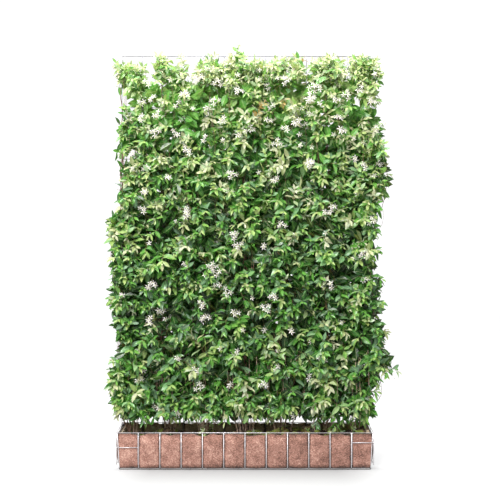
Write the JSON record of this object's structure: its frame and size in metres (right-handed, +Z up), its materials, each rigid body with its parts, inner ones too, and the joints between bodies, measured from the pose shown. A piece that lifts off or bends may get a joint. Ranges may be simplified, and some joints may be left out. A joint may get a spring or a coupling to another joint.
{
  "type": "star jasmine screen in planter",
  "caption": "Evergreen climbing plants with white star-shaped flowers on a tall wire trellis, growing in a long coir-lined wire basket planter.",
  "frame": {"origin": "middle of the underside of the basket's middle wire, on the surface that the planter stands on", "axes": "+X along the screen to the right, +Y from the front to the back, +Z up"},
  "size_m": [1.4228, 0.331, 2.0356],
  "materials": {
    "galvanised_wire": "dull galvanised",
    "coir": "fibrous, matt",
    "soil": "moist crumb, matt",
    "vine_stem": "smooth brown bark",
    "leaf": "glossy leaf",
    "petal": "soft matt petal"
  },
  "bodies": {
    "root": {"wire_basket": "galvanised_wire", "end_panel_left": "galvanised_wire", "end_panel_right": "galvanised_wire", "coir_liner": "coir", "potting_soil": "soil", "trellis": "galvanised_wire", "flowers_01": "petal", "flowers_02": "petal", "flowers_03": "petal", "flowers_04": "petal", "flowers_05": "petal", "flowers_06": "petal", "flowers_07": "petal", "flowers_08": "petal", "flowers_09": "petal", "flowers_10": "petal", "flowers_11": "petal", "flowers_12": "petal", "flowers_13": "petal", "flowers_14": "petal", "flowers_15": "petal", "flowers_16": "petal", "flowers_17": "petal", "flowers_18": "petal", "flowers_19": "petal", "flowers_20": "petal", "flowers_21": "petal", "flowers_22": "petal", "flowers_23": "petal", "flowers_24": "petal", "flowers_25": "petal", "flowers_26": "petal", "flowers_27": "petal", "flowers_28": "petal", "flowers_29": "petal", "flowers_30": "petal", "flowers_31": "petal", "flowers_32": "petal", "vine_1_leaves": "leaf", "vine_1_stem": "vine_stem", "vine_2_leaves": "leaf", "vine_2_stem": "vine_stem", "vine_3_leaves": "leaf", "vine_3_stem": "vine_stem", "vine_4_leaves": "leaf", "vine_4_stem": "vine_stem", "vine_5_leaves": "leaf", "vine_5_stem": "vine_stem", "vine_6_leaves": "leaf", "vine_6_stem": "vine_stem", "vine_7_leaves": "leaf", "vine_7_stem": "vine_stem"}
  },
  "joints": []
}
